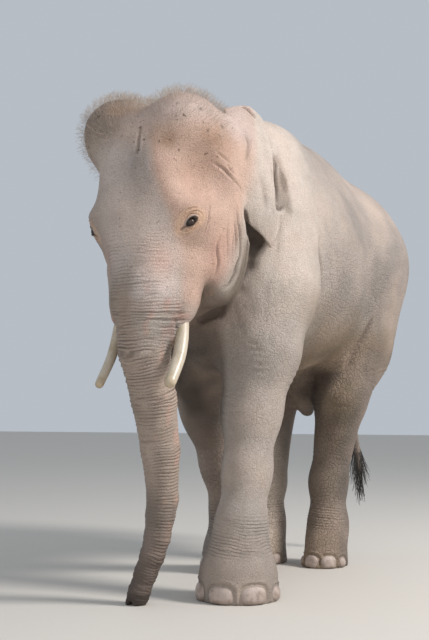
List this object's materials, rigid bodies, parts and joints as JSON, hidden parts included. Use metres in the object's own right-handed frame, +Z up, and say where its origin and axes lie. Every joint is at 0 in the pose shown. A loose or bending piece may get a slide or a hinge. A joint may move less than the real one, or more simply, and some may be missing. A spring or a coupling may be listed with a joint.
{
  "type": "asian elephant",
  "caption": "Life-size standing bull elephant in mid-step, domed crown, trunk hanging to the floor, slender tusks, small ears laid back, arched back and thin tufted tail.",
  "frame": {"origin": "centre of the bounding box's footprint, on the floor under the belly", "axes": "+Z up; the head points along -Y and the tail along +Y; +X is the animal's own left"},
  "size_m": [1.2122, 2.7688, 2.4795],
  "materials": {
    "skin": "matt, finely wrinkled hide, pale pinkish grey",
    "nail": "smooth, faintly ridged horn, pale",
    "ivory": "smooth, softly polished ivory",
    "eye": "wet, dark brown",
    "hair": "coarse dark hair"
  },
  "bodies": {
    "root": {"barrel": "skin", "chest": "skin", "ear_left": "skin", "ear_right": "skin", "eye_left": "eye", "eye_right": "eye", "forefoot_left": "skin", "forefoot_right": "skin", "foreleg_left_lower": "skin", "foreleg_left_upper": "skin", "foreleg_right_lower": "skin", "foreleg_right_upper": "skin", "forenail_left_1": "nail", "forenail_left_2": "nail", "forenail_left_3": "nail", "forenail_left_4": "nail", "forenail_left_5": "nail", "forenail_right_1": "nail", "forenail_right_2": "nail", "forenail_right_3": "nail", "forenail_right_4": "nail", "forenail_right_5": "nail", "head": "skin", "hindfoot_left": "skin", "hindfoot_right": "skin", "hindleg_left_lower": "skin", "hindleg_left_upper": "skin", "hindleg_right_lower": "skin", "hindleg_right_upper": "skin", "hindnail_left_1": "nail", "hindnail_left_2": "nail", "hindnail_left_3": "nail", "hindnail_left_4": "nail", "hindnail_right_1": "nail", "hindnail_right_2": "nail", "hindnail_right_3": "nail", "hindnail_right_4": "nail", "jaw": "skin", "neck": "skin", "rump": "skin", "sheath": "skin", "tail_lower": "skin", "tail_tuft": "hair", "tail_upper": "skin", "trunk_lower": "skin", "trunk_middle": "skin", "trunk_tip": "skin", "trunk_upper": "skin", "tusk_left": "ivory", "tusk_right": "ivory"}
  },
  "joints": []
}
